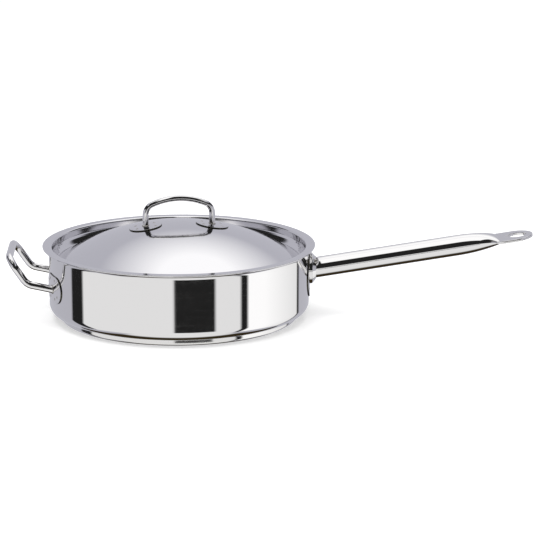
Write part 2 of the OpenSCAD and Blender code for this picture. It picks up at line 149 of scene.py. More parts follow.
# What the boards go by: each line's name, how it is worked out, and from which names or values
for name, way, *values in (
    ("front", "MULTIPLY", "y", -1.0),
    ("turn", "ARCTAN2", "x", "front"), ("azimuth", "DEGREES", "turn"),
    ("roll", "ARCTAN2", "z", "front"), ("round_line", "DEGREES", "roll"),
    ("climb", "ARCSINE", "z"), ("height", "DEGREES", "climb"),
    ("from_front", "SUBTRACT", "azimuth", FRONT_MIDDLE), ("off_front", "ABSOLUTE", "from_front"),
    ("foot", "LINEAR", "off_front", *FRONT_HALF, *BAND_FOOT),
    ("below_top", "LESS_THAN", "height", BAND_TOP), ("above_foot", "GREATER_THAN", "height", "foot"),
    ("in_band", "MULTIPLY", "below_top", "above_foot"),
    ("behind", "GREATER_THAN", "round_line", SOFT_ANGLE),
    ("to_right", "SUBTRACT", "x", SOFT_SIDE), ("along", "DIVIDE", "to_right", SOFT_REACH[1]),
    ("past", "SUBTRACT", "round_line", SOFT_ANGLE), ("across", "DIVIDE", "past", SOFT_REACH[0]),
    ("along_squared", "POWER", "along", 2.0), ("across_squared", "POWER", "across", 2.0),
    ("squares", "ADD", "along_squared", "across_squared"), ("off_soft", "SQRT", "squares"),
    ("sideways", "ABSOLUTE", "x"), ("aside", "SMOOTHSTEP", "sideways", *SIDE_EDGE),
    ("before", "SMOOTHSTEP", "y", *SIDE_END, 1.0, 0.0), ("to_side", "MULTIPLY", "aside", "before"),
    ("lean", "DIVIDE", "x", "z"), ("leaning", "ABSOLUTE", "lean"), ("nearer", "DIVIDE", "front", "z"),
    ("from_slot", "SUBTRACT", "lean", DARK_SLOT[0]), ("off_slot", "ABSOLUTE", "from_slot"),
    ("above", "GREATER_THAN", "z", 0.0), ("within", "SMOOTHSTEP", "leaning", *DARK_SIDE),
    ("beside_slot", "SMOOTHSTEP", "off_slot", *DARK_SLOT[1:]),
    ("under", "SMOOTHSTEP", "nearer", *DARK_HIGH), ("over", "SMOOTHSTEP", "nearer", *DARK_LOW),
    ("dark_sides", "MULTIPLY", "above", "within"), ("dark_parts", "MULTIPLY", "dark_sides", "beside_slot"),
    ("dark_top", "MULTIPLY", "dark_parts", "under"), ("in_dark", "MULTIPLY", "dark_top", "over"),
):
    kind, setting = "ShaderNodeMath", "operation"
    if way in ("LINEAR", "SMOOTHSTEP"):
        kind, setting = "ShaderNodeMapRange", "interpolation_type"
    inputs = {i: found.get(value, value) for i, value in enumerate(values)}
    found[name] = add(tree, kind, inputs, **{setting: way}).outputs[0]
# The boards' colours, each set by one of those values, from its first stop to its last
for name, value, stops in (
    ("round_boards", "round_line", ROUND_BOARDS), ("soft_board", "off_soft", SOFT_BOARD),
    ("side_boards", "height", SIDE_BOARDS), ("wall_boards", "azimuth", WALL_BOARDS),
):
    low, high = stops[0][0], stops[-1][0]
    share = add(tree, "ShaderNodeMapRange", {0: found[value], 1: low, 2: high}).outputs[0]
    stops = [((place - low) / (high - low), colour) for place, colour in stops]
    found[name] = add(tree, "ShaderNodeValToRGB", {0: share}, stops).outputs[0]
# The boards round the line show, except where others stand in front of them
mirrored = found["round_boards"]
for share, other in (
    ("in_dark", linear(BLACK)), ("behind", found["soft_board"]),
    ("to_side", found["side_boards"]), ("in_band", found["wall_boards"]),
):
    mirrored = add(
        tree, "ShaderNodeMix", {0: found[share], 6: mirrored, 7: other}, data_type="RGBA").outputs[2]
path = add(tree, "ShaderNodeLightPath").outputs
mirror_light = add(tree, "ShaderNodeBackground", {0: mirrored, 1: BOARD_LIGHT})
plain_light = add(tree, "ShaderNodeBackground", {0: linear(WHITE), 1: ROOM_LIGHT})
white_room = add(tree, "ShaderNodeBackground", {0: linear(WHITE), 1: 1.0})
lit = add(tree, "ShaderNodeMixShader", {
    0: path["Is Glossy Ray"], 1: plain_light.outputs[0], 2: mirror_light.outputs[0],
})
seen = add(tree, "ShaderNodeMixShader", {
    0: path["Is Camera Ray"], 1: lit.outputs[0], 2: white_room.outputs[0],
})
add(tree, "ShaderNodeOutputWorld", {0: seen.outputs[0]})
scene.world = room

# Table and lamp: a pale matt sheet that keeps the pan's soft shadow, under one wide soft lamp.
# The polished steel mirrors neither of them, only the boards.
TABLE_HALF = 12.0
TABLE_DROP = 0.02 * MM
TABLE_COLOUR = "#f0f0f0"
TABLE_GLOW = 0.35
LAMP_PLACE = (-0.2, -0.3, 1.9)
LAMP_SIZE = 1.6
LAMP_WATTS = 22.0


def new_material(name):
    """An empty node material and its tree."""
    made = bpy.data.materials.new(name)
    made.use_nodes = True
    made.node_tree.nodes.clear()
    return made, made.node_tree


table_paint, tree = new_material("matt_white_sheet")
matt = add(tree, "ShaderNodeBsdfDiffuse", {0: linear(TABLE_COLOUR)})
glow = add(tree, "ShaderNodeEmission", {0: linear(WHITE), 1: TABLE_GLOW})
shown = add(tree, "ShaderNodeLightPath").outputs["Is Camera Ray"]
both = add(tree, "ShaderNodeAddShader", {0: matt.outputs[0], 1: glow.outputs[0]})
sheet = add(tree, "ShaderNodeMixShader", {0: shown, 1: matt.outputs[0], 2: both.outputs[0]})
add(tree, "ShaderNodeOutputMaterial", {0: sheet.outputs[0]})
mesh = bpy.data.meshes.new("table")
corners = [(-1, -1), (1, -1), (1, 1), (-1, 1)]
mesh.from_pydata([(TABLE_HALF * i, TABLE_HALF * j, -TABLE_DROP) for i, j in corners], [], [(0, 1, 2, 3)])
mesh.materials.append(table_paint)
table = bpy.data.objects.new("table", mesh)
scene.collection.objects.link(table)
table.visible_glossy = False
lamp = bpy.data.objects.new("lamp", bpy.data.lights.new("lamp", "AREA"))
lamp.data.energy = LAMP_WATTS
lamp.data.size = LAMP_SIZE
lamp.location = LAMP_PLACE
lamp.visible_glossy = False
scene.collection.objects.link(lamp)

# Pan body: drawn from one 1 mm sheet of 18/10 stainless steel, with a rounded foot, a straight
# wall and a flared pouring lip, and buffed to a mirror outside.
def rounded(corners, step=6.0):
    """An outline in mm through corners (x, z, radius), each rounded by an arc of its radius."""
    made = [corners[0][:2]]
    for (ax, az, _), (bx, bz, radius), (cx, cz, _) in zip(corners, corners[1:], corners[2:]):
        back, on = Vector((ax - bx, az - bz)).normalized(), Vector((cx - bx, cz - bz)).normalized()
        half = back.angle(on) / 2
        middle = Vector((bx, bz)) + (back + on).normalized() * radius / math.sin(half)
        first = Vector((bx, bz)) + back * radius / math.tan(half) - middle
        last = Vector((bx, bz)) + on * radius / math.tan(half) - middle
        turn = math.atan2(first.x * last.y - first.y * last.x, first.dot(last))
        count = max(1, math.ceil(abs(math.degrees(turn)) / step))
        for i in range(count + 1):
            place = middle + first @ Matrix.Rotation(-turn * i / count, 2)
            made.append((place.x, place.y))
    return made + [corners[-1][:2]]


def with_guards(outline, reach=0.3, longest=6.0):
    """The outline with points close to the ends of its long runs, so that they mirror straight."""
    made = [outline[0]]
    for (x0, z0), (x1, z1) in zip(outline, outline[1:]):
        length = math.hypot(x1 - x0, z1 - z0)
        if length > 4 * reach:
            count = max(1, math.ceil((length - 2 * reach) / longest))
            shares = [(reach + (length - 2 * reach) * i / count) / length for i in range(count + 1)]
            made += [(x0 + (x1 - x0) * s, z0 + (z1 - z0) * s) for s in shares]
        made.append((x1, z1))
    return made


def new_tree(name, **inputs):
    """A geometry tree with named inputs of the given socket kinds, and its input sockets."""
    tree = bpy.data.node_groups.new(name, "GeometryNodeTree")
    tree.interface.new_socket(name="Geometry", in_out="INPUT", socket_type="NodeSocketGeometry")
    for title, kind in inputs.items():
        tree.interface.new_socket(
            name=title.replace("_", " "), in_out="INPUT", socket_type="NodeSocket" + kind)
    tree.interface.new_socket(name="Geometry", in_out="OUTPUT", socket_type="NodeSocketGeometry")
    return tree, add(tree, "NodeGroupInput").outputs


def end_tree(tree, geometry, finish):
    """Ends a geometry tree: real geometry with its material."""
    real = add(tree, "GeometryNodeRealizeInstances", {0: geometry}).outputs[0]
    done = add(tree, "GeometryNodeSetMaterial", {"Geometry": real, "Material": finish})
    add(tree, "NodeGroupOutput", {0: done.outputs[0]})
    return tree


def turned_sheet():
    """Geometry tree: turns a half section once round the Z axis."""
    tree, given = new_tree("turned_sheet", Rail_radius="Float", Steps_round="Int", Finish="Material")
    section = add(tree, "GeometryNodeMeshToCurve", {"Mesh": given["Geometry"]})
    rail = add(tree, "GeometryNodeCurvePrimitiveCircle", {
        "Resolution": given["Steps round"], "Radius": given["Rail radius"],
    })
    skin = add(tree, "GeometryNodeCurveToMesh", {
        "Curve": rail.outputs[0], "Profile Curve": section.outputs[0],
    })
    return end_tree(tree, skin.outputs[0], given["Finish"])


def grown(name, seed, tree, **sizes):
    """A plain mesh object made by a geometry tree from a seed mesh, with its inputs set by name."""
    maker = bpy.data.objects.new(name + "_maker", seed)
    scene.collection.objects.link(maker)
    modifier = maker.modifiers.new("maker", "NODES")
    modifier.node_group = tree
    sockets = {item.name: item.identifier for item in tree.interface.items_tree if item.in_out == "INPUT"}
    for size, value in sizes.items():
        modifier[sockets[size.replace("_", " ")]] = value
    return plain(name, maker)


def plain(name, maker):
    """Turns an object with its modifiers into one plain mesh object."""
    graph = bpy.context.evaluated_depsgraph_get()
    mesh = bpy.data.meshes.new_from_object(maker.evaluated_get(graph), depsgraph=graph)
    bpy.data.objects.remove(maker)
    mesh.name = name
    made = bpy.data.objects.new(name, mesh)
    scene.collection.objects.link(made)
    return made


SHARP = math.radians(38)
WELD_REACH = 0.002 * MM


def closed(piece):
    """Merges a piece's seams and poles, turns its faces outwards and shades it smooth."""
    shape = bmesh.new()
    shape.from_mesh(piece.data)
    bmesh.ops.remove_doubles(shape, verts=shape.verts, dist=WELD_REACH)
    bmesh.ops.delete(shape, geom=[e for e in shape.edges if not e.link_faces], context="EDGES")
    bmesh.ops.recalc_face_normals(shape, faces=shape.faces)
    shape.to_mesh(piece.data)
    shape.free()
    piece.data.shade_smooth()
    piece.data.set_sharp_from_angle(angle=SHARP)
    return piece


RAIL = 100 * MM
STEPS_ROUND = 320


def turned(name, section, finish):
    """A closed shell turned from a half section in mm that starts and ends on the axis."""
    seed = bpy.data.meshes.new(name + "_section")
    points = [(x * MM - RAIL, -z * MM, 0) for x, z in with_guards(section)]
    seed.from_pydata(points, [(i, i + 1) for i in range(len(points) - 1)], [])
    made = grown(name, seed, lathe, Rail_radius=RAIL, Steps_round=STEPS_ROUND, Finish=finish)
    return closed(made)


def placed(piece, body, slot, *nodes):
    """Fixes a piece to its body, in the place of its plain CAD nodes."""
    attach(piece, body)
    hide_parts(*nodes)


# Streaks left by the wheel, by the noise that draws them and how much they dull the steel, and
# the size in mm of the sheet's slow waves
STREAK_RANGE = (0.35, 0.7)
STREAK_DULLS = 0.035
WAVE_SIZE = 45.0


def buffed_steel(name, colour, gloss, streak, waviness=0.004, tilt=0.0):
    """Mirror-buffed 18/10 stainless steel. The eye sees sharp reflections, a little softer in faint
    streaks that the buffing wheel left. streak gives their lengths along X, Y and Z in mm, and
    tilt how far they rise towards +X."""
    made, tree = new_material(name)
    place = add(tree, "ShaderNodeTexCoord").outputs["Object"]
    stretched = add(tree, "ShaderNodeMapping", {
        "Vector": place, "Rotation": (0, -tilt, 0), "Scale": [length * MM for length in streak],
    }, vector_type="TEXTURE").outputs[0]
    lines = add(tree, "ShaderNodeTexNoise", {"Vector": stretched, "Scale": 1.0, "Detail": 3.0})
    rough = add(tree, "ShaderNodeMapRange", {
        0: lines.outputs[0], 1: STREAK_RANGE[0], 2: STREAK_RANGE[1], 3: gloss, 4: gloss + STREAK_DULLS,
    })
    wave = add(tree, "ShaderNodeTexNoise", {"Vector": place, "Scale": 1 / (WAVE_SIZE * MM), "Detail": 1.0})
    bump = add(tree, "ShaderNodeBump", {"Height": wave.outputs[0], "Distance": waviness * MM})
    skin = add(tree, "ShaderNodeBsdfPrincipled", {
        "Base Color": linear(colour), "Metallic": 1.0,
        "Roughness": rough.outputs[0], "Normal": bump.outputs[0],
    })
    add(tree, "ShaderNodeOutputMaterial", {0: skin.outputs[0]})
    return made


BODY_R = 140.0
BODY_H = 78.2
WALL = 1.0
FLOOR_Z = 7.0
CORNER_R = 10.0
LIP_FLARE = 4.2
LIP_LAND = 1.4
EDGE_R = 0.35

lathe = turned_sheet()
body_steel = buffed_steel("buffed_steel_body", "#e5e4e4", 0.018, (60, 60, 1.6))
lip_r = BODY_R + LIP_FLARE + LIP_LAND
body_section = rounded([
    (0, FLOOR_Z, 0), (BODY_R, FLOOR_Z, CORNER_R),
    (BODY_R, BODY_H - WALL, LIP_FLARE), (lip_r, BODY_H - WALL, EDGE_R),
    (lip_r, BODY_H, EDGE_R), (BODY_R - WALL, BODY_H, LIP_FLARE + WALL),
    (BODY_R - WALL, FLOOR_Z + WALL, CORNER_R - WALL), (0, FLOOR_Z + WALL, 0),
])
placed(turned("pan_body", body_section, body_steel), "pan", "polished_steel", "pan_shell")

# Base disc: a plate of rolled aluminium that spreads the heat, sealed in between the floor and
# the base cup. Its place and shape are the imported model's own.
ROLLED_GRAIN = (50.0, 1.1111, 1.1111)
ROLLED_ROUGH = (0.28, 0.42)

# Rolled aluminium: the eye sees a soft grey sheen, drawn out in fine lines along the rolling
core_metal, tree = new_material("rolled_aluminium")
place = add(tree, "ShaderNodeTexCoord").outputs["Object"]
rolling = add(tree, "ShaderNodeMapping", {
    "Vector": place, "Scale": [1 / (length * MM) for length in ROLLED_GRAIN],
}).outputs[0]
grain = add(tree, "ShaderNodeTexNoise", {"Vector": rolling, "Scale": 1.0, "Detail": 4.0})
rough = add(tree, "ShaderNodeMapRange", {0: grain.outputs[0], 3: ROLLED_ROUGH[0], 4: ROLLED_ROUGH[1]})
skin = add(tree, "ShaderNodeBsdfPrincipled", {
    "Base Color": linear("#dfe0e1"), "Metallic": 1.0, "Roughness": rough.outputs[0],
})
add(tree, "ShaderNodeOutputMaterial", {0: skin.outputs[0]})
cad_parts["base_core"].data.materials[0] = core_metal

# Base cup: a thin stainless cup pressed over the disc and brazed under the floor. It is
# narrower than the body, so that a dark groove shows between the two.
CAP_R = 128.4
CAP_T = 0.8
CAP_EDGE = 3.0
CRISP_R = 0.1

base_steel = buffed_steel("buffed_steel_base", "#e2e1e0", 0.06, (40, 40, 1.2), 0.02)
cap_section = rounded([
    (0, 0, 0), (CAP_R, 0, CAP_EDGE), (CAP_R, FLOOR_Z, CRISP_R), (CAP_R - CAP_T, FLOOR_Z, CRISP_R),
    (CAP_R - CAP_T, CAP_T, CAP_EDGE - CAP_T), (0, CAP_T, 0),
])
placed(turned("base_cup", cap_section, base_steel), "pan", "polished_steel", "base_cap")

# Long handle's plate: an oval of 1.2 mm stainless sheet, pressed to the wall's curve and spot
# welded to it. Its edge is dull and coloured dark: painted shade for the shadowed crevice where
# the plate meets the wall.
def ring_outline(width, height, inset, arcs=28, runs=18):
    """Points of an oval with half-round ends, from its right tip round to the left."""
    radius = height / 2 - inset
    half_run = (width - height) / 2
    quarter = [math.radians(90 * i / arcs) for i in range(arcs + 1)]
    points = [(half_run + radius * math.cos(t), radius * math.sin(t)) for t in quarter]
    if half_run > 0:
        points += [(half_run * (1 - 2 * i / runs), radius) for i in range(1, runs)]
    points += [(-x, y) for x, y in reversed(points[:arcs + 1])][half_run <= 0:]
    return points + [(x, -y) for x, y in reversed(points[1:-1])]


PLATE_RINGS = (0.98, 0.86, 0.7, 0.5, 0.3, 0.15)
BACK_EASE = (0.3, 0.1)
FACE_RING = 0.25
EDGE_TURNS = (0, 30, 60, 90)


def pressed_plate(name, width, height, thick, lay, finish, edge=0.4):
    """A closed oval plate. lay(across, up, lift) says where on the pan a point of it lies."""
    inner = [height / 2 * share for share in PLATE_RINGS]
    turns = [math.radians(angle) for angle in EDGE_TURNS]
    profile = [(inset, 0) for inset in inner] + [(BACK_EASE[0], 0), (0, BACK_EASE[1])]
    profile += [(edge * (1 - math.cos(t)), thick - edge + edge * math.sin(t)) for t in turns]
    profile += [(edge + FACE_RING, thick)] + [(inset, thick) for inset in reversed(inner)]
    rings = [[lay(x, y, lift) for x, y in ring_outline(width, height, inset)] for inset, lift in profile]
    count = len(rings[0])
    faces = [
        (a + i, a + (i + 1) % count, a + count + (i + 1) % count, a + count + i)
        for a in range(0, count * (len(rings) - 1), count) for i in range(count)
    ]
    for a in (0, count * (len(rings) - 1)):
        for i in range(count // 2):
            quad = [a + i, a + i + 1, a + count - i - 1, a + (count - i) % count]
            faces.append(list(dict.fromkeys(quad)))
    mesh = bpy.data.meshes.new(name)
    mesh.from_pydata([point for ring in rings for point in ring], [], faces)
    mesh.materials.append(finish)
    mesh.materials.append(shaded_edge_steel)
    # The edge faces take the dark edge material: painted shade for the crevice where a plate meets the pan
    # or lid.
    rim = (len(inner) * count, (len(inner) + len(turns)) * count)
    for face in mesh.polygons[rim[0]:rim[1]]:
        face.material_index = 1
    piece = bpy.data.objects.new(name, mesh)
    scene.collection.objects.link(piece)
    return closed(piece)


def on_wall(angle, height):
    """How a plate lies against the wall, about a middle at an angle from +X and a height in mm."""
    def lay(across, up, lift):
        flat = Vector((math.sqrt((BODY_R + lift) ** 2 - across ** 2), across, height + up))
        return flat @ Matrix.Rotation(-angle, 3, "Z") * MM
    return lay


SADDLE_W = 60.0
SADDLE_H = 46.0
SADDLE_Z = 44.5
SADDLE_T = 1.2

plate_steel = buffed_steel("buffed_steel_plates", "#e4e3e3", 0.025, (25, 25, 1.0), 0.01)
# A dark colour on the plates' edges: painted shade for the shadowed crevice round each plate.
shaded_edge_steel = buffed_steel("painted_shade_edge", "#4c4a42", 0.25, (2, 2, 2))
plate = pressed_plate("handle_plate", SADDLE_W, SADDLE_H, SADDLE_T, on_wall(0, SADDLE_Z), plate_steel)
placed(plate, "pan", "polished_steel", "handle_saddle")

# Ferrule: a cone pressed from stainless sheet, welded to the plate. The tube passes through
# its mouth, tilted up by 8.6 degrees.
TUBE_R = 11.2
HANDLE_Z = 50.1
HANDLE_TILT = math.radians(8.6)
FERRULE_LEN = 7.4
FERRULE_FOOT = 3.4
FERRULE_R = 17.0
MOUTH_R = 12.5
BORE_GAP = 0.1
FERRULE_BEND = 1.4
MOUTH_EDGE = 0.5
BORE_POINTS = 128

handle_place = (
    Matrix.Translation((BODY_R * MM, 0, HANDLE_Z * MM)) @ Matrix.Rotation(-HANDLE_TILT, 4, "Y")
)
upright_place = (
    Matrix.Translation((BODY_R * MM, 0, (HANDLE_Z + FERRULE_LEN / 2 * math.tan(HANDLE_TILT)) * MM))
    @ Matrix.Rotation(math.pi / 2, 4, "Y")
)


BEVEL_STEPS = 3
BEVEL_FROM = math.radians(60)


def cut(piece, cutter, bevel=0.0):
    """The piece with the cutter's shape taken away, and its new edges bevelled by mm."""
    name = piece.name
    scene.collection.objects.link(cutter)
    difference = piece.modifiers.new("cut", "BOOLEAN")
    difference.object = cutter
    difference.solver = "EXACT"
    if bevel:
        eased = piece.modifiers.new("eased", "BEVEL")
        eased.width = bevel * MM
        eased.segments = BEVEL_STEPS
        eased.angle_limit = BEVEL_FROM
    piece.name = name + "_uncut"
    made = plain(name, piece)
    bpy.data.objects.remove(cutter)
    return made


def prism(name, outline, low, high, finish):
    """A solid with an outline in mm, from one height to another."""
    count = len(outline)
    points = [(x * MM, y * MM, z * MM) for z in (low, high) for x, y in outline]
    sides = [(i, (i + 1) % count, count + (i + 1) % count, count + i) for i in range(count)]
    mesh = bpy.data.meshes.new(name)
    mesh.from_pydata(points, [], sides + [list(reversed(range(count))), list(range(count, 2 * count))])
    mesh.materials.append(finish)
    return bpy.data.objects.new(name, mesh)


ferrule = turned("handle_ferrule_cone", rounded([
    (0, 0, 0), (FERRULE_R, 0, CRISP_R), (FERRULE_R, FERRULE_FOOT, FERRULE_BEND),
    (MOUTH_R, FERRULE_LEN, MOUTH_EDGE), (0, FERRULE_LEN, 0),
]), plate_steel)
ferrule.data.transform(upright_place)
bore_outline = [
    ((TUBE_R + BORE_GAP) * math.cos(t), (TUBE_R + BORE_GAP) * math.sin(t))
    for t in (2 * math.pi * i / BORE_POINTS for i in range(BORE_POINTS))
]
bore = prism("tube_bore", bore_outline, -2 * FERRULE_LEN, 2 * FERRULE_LEN, plate_steel)
bore.data.transform(handle_place @ Matrix.Rotation(math.pi / 2, 4, "Y"))
placed(closed(cut(ferrule, bore)), "pan", "polished_steel", "handle_ferrule")

# Long handle: a round stainless tube, pressed flat at its end to a tab with a rounded tip and
# a teardrop hanging eye, and buffed along its length.
TUBE_START = 4.5
HANDLE_LEN = 245.5
TAB_LEN = 37.5
PRESS_LEN = 46.0
WIDENING = 4
RIM_START = 0.8
TAB_EDGE = 0.6
TAB_W = 40.0
TAB_T = 3.0
EYE_R = 9.8
EYE_POINT = 13.4
EYE_RIM = 6.9
EYE_EASE = 0.35
TUBE_POINTS = 160
TUBE_STEPS = 12
PRESS_STEPS = 60
TAB_STEPS = 4
TIP_STEPS = 30
EYE_STEPS = 72

handle_steel = buffed_steel("buffed_steel_tube", "#e6e5e5", 0.02, (60, 1.4, 1.4), tilt=HANDLE_TILT)
press_end = HANDLE_LEN - TAB_LEN
press_start = press_end - PRESS_LEN
tip_x = HANDLE_LEN - TAB_W / 2


def tube_ring(x):
    """Points round the tube's section at a distance from the wall. Its height falls with a rounded
    nose, its width grows late, and its sides end as a flat rim, two walls thick."""
    share = min(max((x - press_start) / PRESS_LEN, 0), 1)
    half_h = TAB_T / 2 + (TUBE_R - TAB_T / 2) * math.sqrt(1 - share ** 2)
    half_w = TUBE_R + (TAB_W / 2 - TUBE_R) * share ** WIDENING
    if x > tip_x:
        half_w = math.sqrt((TAB_W / 2) ** 2 - (x - tip_x) ** 2)
    rim = min(max((share - RIM_START) / (1 - RIM_START), 0), 1)
    rim *= rim * (3 - 2 * rim)
    points = []
    for i in range(TUBE_POINTS):
        turn = 2 * math.pi * (i + 0.5) / TUBE_POINTS
        y, oval = half_w * math.cos(turn), half_h * abs(math.sin(turn))
        inset = TAB_W / 2 - math.hypot(x - tip_x, y) if x > tip_x else half_w - abs(y)
        cut = TAB_EDGE - min(max(inset, 0), TAB_EDGE)
        flat = TAB_T / 2 - TAB_EDGE + math.sqrt(TAB_EDGE ** 2 - cut ** 2)
        points.append((x, y, math.copysign(max(oval, flat * rim), math.sin(turn))))
    return points


stations = [TUBE_START + (press_start - TUBE_START) * i / TUBE_STEPS for i in range(TUBE_STEPS)]
stations += [
    press_start + PRESS_LEN * math.sin(math.pi / 2 * i / PRESS_STEPS) for i in range(PRESS_STEPS + 1)]
stations += [press_end + (tip_x - press_end) * i / TAB_STEPS for i in range(1, TAB_STEPS + 1)]
stations += [tip_x + TAB_W / 2 * math.sin(math.pi / 2 * i / TIP_STEPS) for i in range(1, TIP_STEPS)]
rings = [tube_ring(x) for x in stations]
points = [Vector(point) * MM for ring in rings for point in ring]
points += [Vector((TUBE_START, 0, 0)) * MM, Vector((HANDLE_LEN, 0, 0)) * MM]
faces = [
    (a + i, a + (i + 1) % TUBE_POINTS, a + TUBE_POINTS + (i + 1) % TUBE_POINTS, a + TUBE_POINTS + i)
    for a in range(0, TUBE_POINTS * (len(rings) - 1), TUBE_POINTS) for i in range(TUBE_POINTS)
]
last = TUBE_POINTS * (len(rings) - 1)
for start, pole in ((0, len(points) - 2), (last, len(points) - 1)):
    faces += [(start + i, start + (i + 1) % TUBE_POINTS, pole) for i in range(TUBE_POINTS)]
mesh = bpy.data.meshes.new("long_handle")
mesh.from_pydata(points, [], faces)
mesh.materials.append(handle_steel)
tube = bpy.data.objects.new("long_handle", mesh)
scene.collection.objects.link(tube)
closed(tube)
eye_x = HANDLE_LEN - EYE_RIM - EYE_R
open_half = math.acos(EYE_R / EYE_POINT)
eye_turns = [(math.pi - open_half) * (1 - 2 * i / EYE_STEPS) for i in range(EYE_STEPS + 1)]
eye_outline = [(eye_x + EYE_R * math.cos(t), EYE_R * math.sin(t)) for t in reversed(eye_turns)]
eye_outline.append((eye_x - EYE_POINT, 0))
tube = cut(tube, prism("hanging_eye", eye_outline, -2 * TAB_T, 2 * TAB_T, handle_steel), EYE_EASE)
tube.data.transform(handle_place)
placed(closed(tube), "pan", "handle_steel", "handle_tube")

# Handle welds: two round beads where the tube leaves the ferrule, and six spot welds on the
# plate, all of cleaned weld metal, duller and warmer than the sheet.
MARK_SEGMENTS = 28
MARK_RINGS = 16


def weld_marks_tree():
    """Geometry tree: sets one domed mark on each point, along the point's outward direction."""
    tree, given = new_tree("weld_marks", Mark_radius="Float", Mark_height="Float", Finish="Material")
    outward = add(tree, "GeometryNodeInputNamedAttribute", {"Name": "outward"}, data_type="FLOAT_VECTOR")
    turn = add(tree, "FunctionNodeAlignRotationToVector", {"Vector": outward.outputs[0]}, axis="Z")
    ball = add(tree, "GeometryNodeMeshUVSphere", {
        "Segments": MARK_SEGMENTS, "Rings": MARK_RINGS, "Radius": given["Mark radius"],
    })
    share = add(tree, "ShaderNodeMath", {
        0: given["Mark height"], 1: given["Mark radius"],
    }, operation="DIVIDE")
    flat = add(tree, "ShaderNodeCombineXYZ", {0: 1.0, 1: 1.0, 2: share.outputs[0]})
    mark = add(tree, "GeometryNodeTransform", {"Geometry": ball.outputs[0], "Scale": flat.outputs[0]})
    dots = add(tree, "GeometryNodeMeshToPoints", {"Mesh": given["Geometry"]})
    all_marks = add(tree, "GeometryNodeInstanceOnPoints", {
        "Points": dots.outputs[0], "Instance": mark.outputs[0], "Rotation": turn.outputs[0],
    })
    return end_tree(tree, all_marks.outputs[0], given["Finish"])


def weld_marks(name, places, radius, height, finish):
    """Domed marks at places, each a point and its outward direction, both in metres."""
    seed = bpy.data.meshes.new(name + "_places")
    seed.from_pydata([point for point, _ in places], [], [])
    outward = seed.attributes.new("outward", "FLOAT_VECTOR", "POINT")
    for spot, (_, direction) in zip(outward.data, places):
        spot.vector = direction
    made = grown(
        name, seed, marks_tree, Mark_radius=radius * MM, Mark_height=height * MM, Finish=finish)
    return closed(made)


def wall_spots(angle, height, spots):
    """Places of spot welds on a wall plate, from arc and height in mm about its middle."""
    made = []
    for along, up in spots:
        turn = angle + along / BODY_R
        outward = Vector((math.cos(turn), math.sin(turn), 0))
        made.append((outward * (BODY_R + SADDLE_T) * MM + Vector((0, 0, (height + up) * MM)), outward))
    return made


SPOT_R = 1.5
SPOT_H = 0.3
BEAD_R = 2.7
BEAD_LIFT = 1.2
SADDLE_COL = 21.6
SADDLE_ROW = 12.0
# Pits and warmer spots in mm
PIT_SIZE = 0.8
PIT_DEPTH = 0.05
PIT_ROUGH = (0.12, 0.3)
WARM_SPOT = 3.0
WELD_TINTS = [(0.35, "#a9a49b"), (0.65, "#d2cfca")]

# Weld metal cleaned with a wire wheel: the eye sees a pitted grey, a little warmer in spots
weld_metal, tree = new_material("cleaned_weld_metal")
place = add(tree, "ShaderNodeTexCoord").outputs["Object"]
pits = add(tree, "ShaderNodeTexNoise", {"Vector": place, "Scale": 1 / (PIT_SIZE * MM), "Detail": 4.0})
tone = add(tree, "ShaderNodeTexNoise", {"Vector": place, "Scale": 1 / (WARM_SPOT * MM), "Detail": 2.0})
tint = add(tree, "ShaderNodeValToRGB", {0: tone.outputs[0]}, WELD_TINTS)
rough = add(tree, "ShaderNodeMapRange", {0: pits.outputs[0], 3: PIT_ROUGH[0], 4: PIT_ROUGH[1]})
bump = add(tree, "ShaderNodeBump", {
    "Height": pits.outputs[0], "Distance": PIT_DEPTH * MM, "Strength": 0.6,
})
skin = add(tree, "ShaderNodeBsdfPrincipled", {
    "Base Color": tint.outputs[0], "Metallic": 1.0,
    "Roughness": rough.outputs[0], "Normal": bump.outputs[0],
})
add(tree, "ShaderNodeOutputMaterial", {0: skin.outputs[0]})

marks_tree = weld_marks_tree()
bead_out = TUBE_R + BEAD_LIFT
beads = []
for side in (-1, 1):
    outward = Vector((0, side * math.sqrt(0.5), math.sqrt(0.5)))
    place = (Vector((FERRULE_LEN, 0, 0)) + outward * bead_out) * MM
    beads.append((handle_place @ place, handle_place.to_3x3() @ outward))
placed(
    weld_marks("handle_beads", beads, BEAD_R, BEAD_R, weld_metal),
    "pan", "weld_metal", "handle_weld_beads")
saddle_spots = [(col * SADDLE_COL, row * SADDLE_ROW) for col in (-1, 1) for row in (-1, 0, 1)]
placed(
    weld_marks("handle_plate_spots", wall_spots(0, SADDLE_Z, saddle_spots), SPOT_R, SPOT_H, weld_metal),
    "pan", "weld_metal", "handle_spot_welds")

# Helper handle's plates: two smaller ovals of the same 1.2 mm stainless sheet, pressed to the
# wall's curve and spot welded to it, one under each leg of the handle.
LEG_SPAN = 83.0
LEG_Z = 40.8
PAD_W = 51.0
PAD_H = 28.5

leg_angle = math.asin(LEG_SPAN / 2 / BODY_R)
for name, side in (("front", 1), ("rear", -1)):
    plate = pressed_plate(
        "helper_plate_" + name, PAD_W, PAD_H, SADDLE_T,
        on_wall(math.pi + side * leg_angle, LEG_Z), plate_steel)
    placed(plate, "pan", "polished_steel", "helper_saddle_" + name)

# Helper handle: one 8 mm stainless rod, bent up and across to a grip, and buffed before it was
# welded to its plates.
ROD_POINTS = 64
BEND_STEPS = 32


